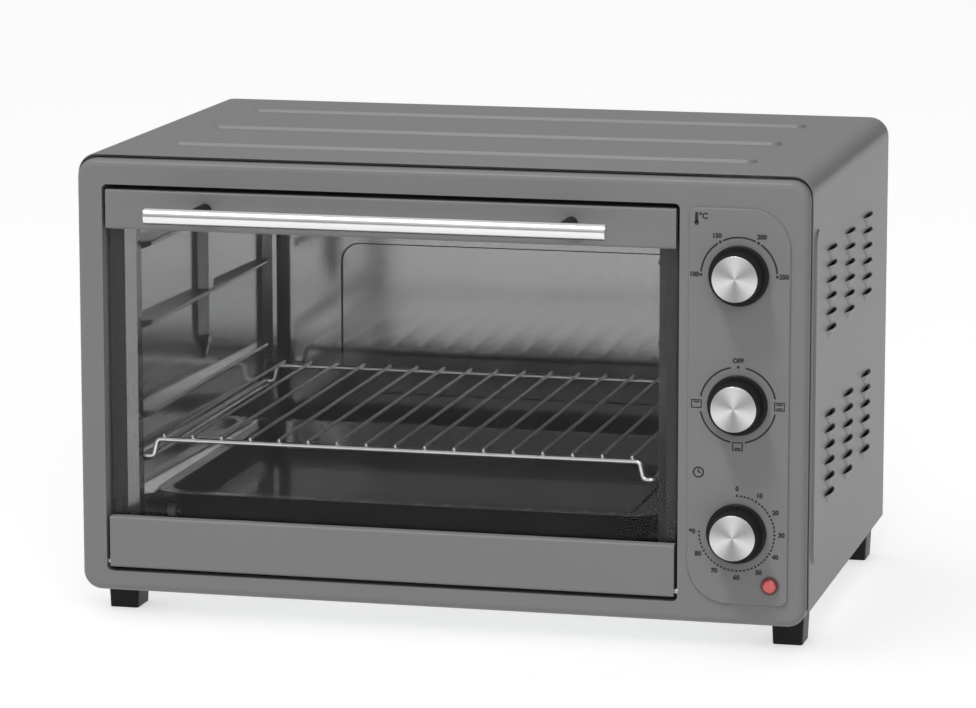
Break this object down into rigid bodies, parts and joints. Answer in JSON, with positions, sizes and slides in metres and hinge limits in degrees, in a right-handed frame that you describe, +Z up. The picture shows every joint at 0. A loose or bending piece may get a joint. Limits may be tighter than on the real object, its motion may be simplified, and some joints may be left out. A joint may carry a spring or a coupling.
{
  "type": "toaster oven",
  "caption": "Countertop toaster oven: wrapped sheet cabinet on feet, drop-down glass door with bar handle, wire rack and tray in a ribbed cavity, column of turning knobs.",
  "frame": {"origin": "centre of the whole oven's footprint, on the plane that the feet stand on", "axes": "+X to the right as seen from the front, +Y to the back, +Z up"},
  "size_m": [0.5596, 0.444, 0.3538],
  "materials": {
    "grey_paint": "satin",
    "dark_grey_paint": "satin",
    "zinc_sheet": "satin",
    "lining_sheet": "polished",
    "chrome": "polished",
    "black_plastic": "satin",
    "black_paint": "satin",
    "face_aluminium": "brushed",
    "door_glass": "clear",
    "heater_steel": "dull",
    "ceramic": "glazed",
    "dark_enamel": "glossy enamel",
    "red_lens": "clear red",
    "control_moulding": "moulded",
    "plated_steel": "bright zinc"
  },
  "bodies": {
    "cabinet": {"front_bezel": "grey_paint", "outer_shell": "grey_paint", "back_cover": "grey_paint", "base_plate": "zinc_sheet", "cavity_frame": "dark_grey_paint", "cavity_left_wall": "lining_sheet", "cavity_right_wall": "lining_sheet", "cavity_ceiling": "lining_sheet", "cavity_floor": "lining_sheet", "cavity_back_wall": "lining_sheet", "control_heat_shield": "zinc_sheet", "lower_heater_front": "heater_steel", "lower_heater_rear": "heater_steel", "upper_heater_front": "heater_steel", "upper_heater_rear": "heater_steel", "heater_insulators": "ceramic", "thermostat": "control_moulding", "function_switch": "control_moulding", "timer_unit": "control_moulding", "control_nuts": "plated_steel", "indicator_lens": "red_lens", "indicator_lamp_holder": "control_moulding", "terminal_block": "control_moulding", "cord_gland": "black_plastic", "foot_front_left": "black_plastic", "foot_front_right": "black_plastic", "foot_back_left": "black_plastic", "foot_back_right": "black_plastic", "foot_screws": "plated_steel", "back_cover_screws": "plated_steel", "right_hinge_plate": "plated_steel", "left_hinge_plate": "plated_steel"},
    "door": {"door_top_rail": "grey_paint", "door_bottom_rail": "grey_paint", "door_glass": "door_glass", "glass_clamp_top": "zinc_sheet", "glass_clamp_bottom": "zinc_sheet", "handle_bar": "chrome", "handle_post_left": "black_plastic", "handle_post_right": "black_plastic", "handle_screws": "plated_steel", "right_hinge_bracket": "black_paint", "left_hinge_bracket": "black_paint", "right_hinge_pin": "plated_steel", "left_hinge_pin": "plated_steel"},
    "rack": {"rack_frame": "chrome", "rack_wires": "chrome"},
    "tray": {"baking_tray": "dark_enamel"},
    "temperature_dial": {"temperature_knob": "black_plastic", "temperature_knob_face": "face_aluminium", "temperature_shaft": "plated_steel"},
    "function_dial": {"function_knob": "black_plastic", "function_knob_face": "face_aluminium", "function_shaft": "plated_steel"},
    "timer_dial": {"timer_knob": "black_plastic", "timer_knob_face": "face_aluminium", "timer_shaft": "plated_steel"}
  },
  "joints": [
    {"name": "door_hinge", "type": "hinge", "parent": "cabinet", "child": "door", "pos_m": [-0.0374, -0.173, 0.044], "axis": [1, 0, 0], "range_deg": [0, 85]},
    {"name": "rack_slide", "type": "slide", "parent": "cabinet", "child": "rack", "axis": [0, -1, 0], "range_m": [0, 0.12]},
    {"name": "tray_slide", "type": "slide", "parent": "cabinet", "child": "tray", "axis": [0, -1, 0], "range_m": [0, 0.06]},
    {"name": "temperature_turn", "type": "hinge", "parent": "cabinet", "child": "temperature_dial", "pos_m": [0.2245, -0.1806, 0.2795], "axis": [0, 1, 0], "range_deg": [-90, 90]},
    {"name": "function_turn", "type": "hinge", "parent": "cabinet", "child": "function_dial", "pos_m": [0.2245, -0.1806, 0.1851], "axis": [0, 1, 0], "range_deg": [0, 270]},
    {"name": "timer_turn", "type": "hinge", "parent": "cabinet", "child": "timer_dial", "pos_m": [0.2245, -0.1806, 0.0907], "axis": [0, 1, 0], "range_deg": [0, 270]}
  ],
  "couplings": [
    {"joint": "rack_slide", "follows": "door_hinge", "m_per_rad": 0.08},
    {"joint": "tray_slide", "follows": "door_hinge", "m_per_rad": 0.04}
  ]
}
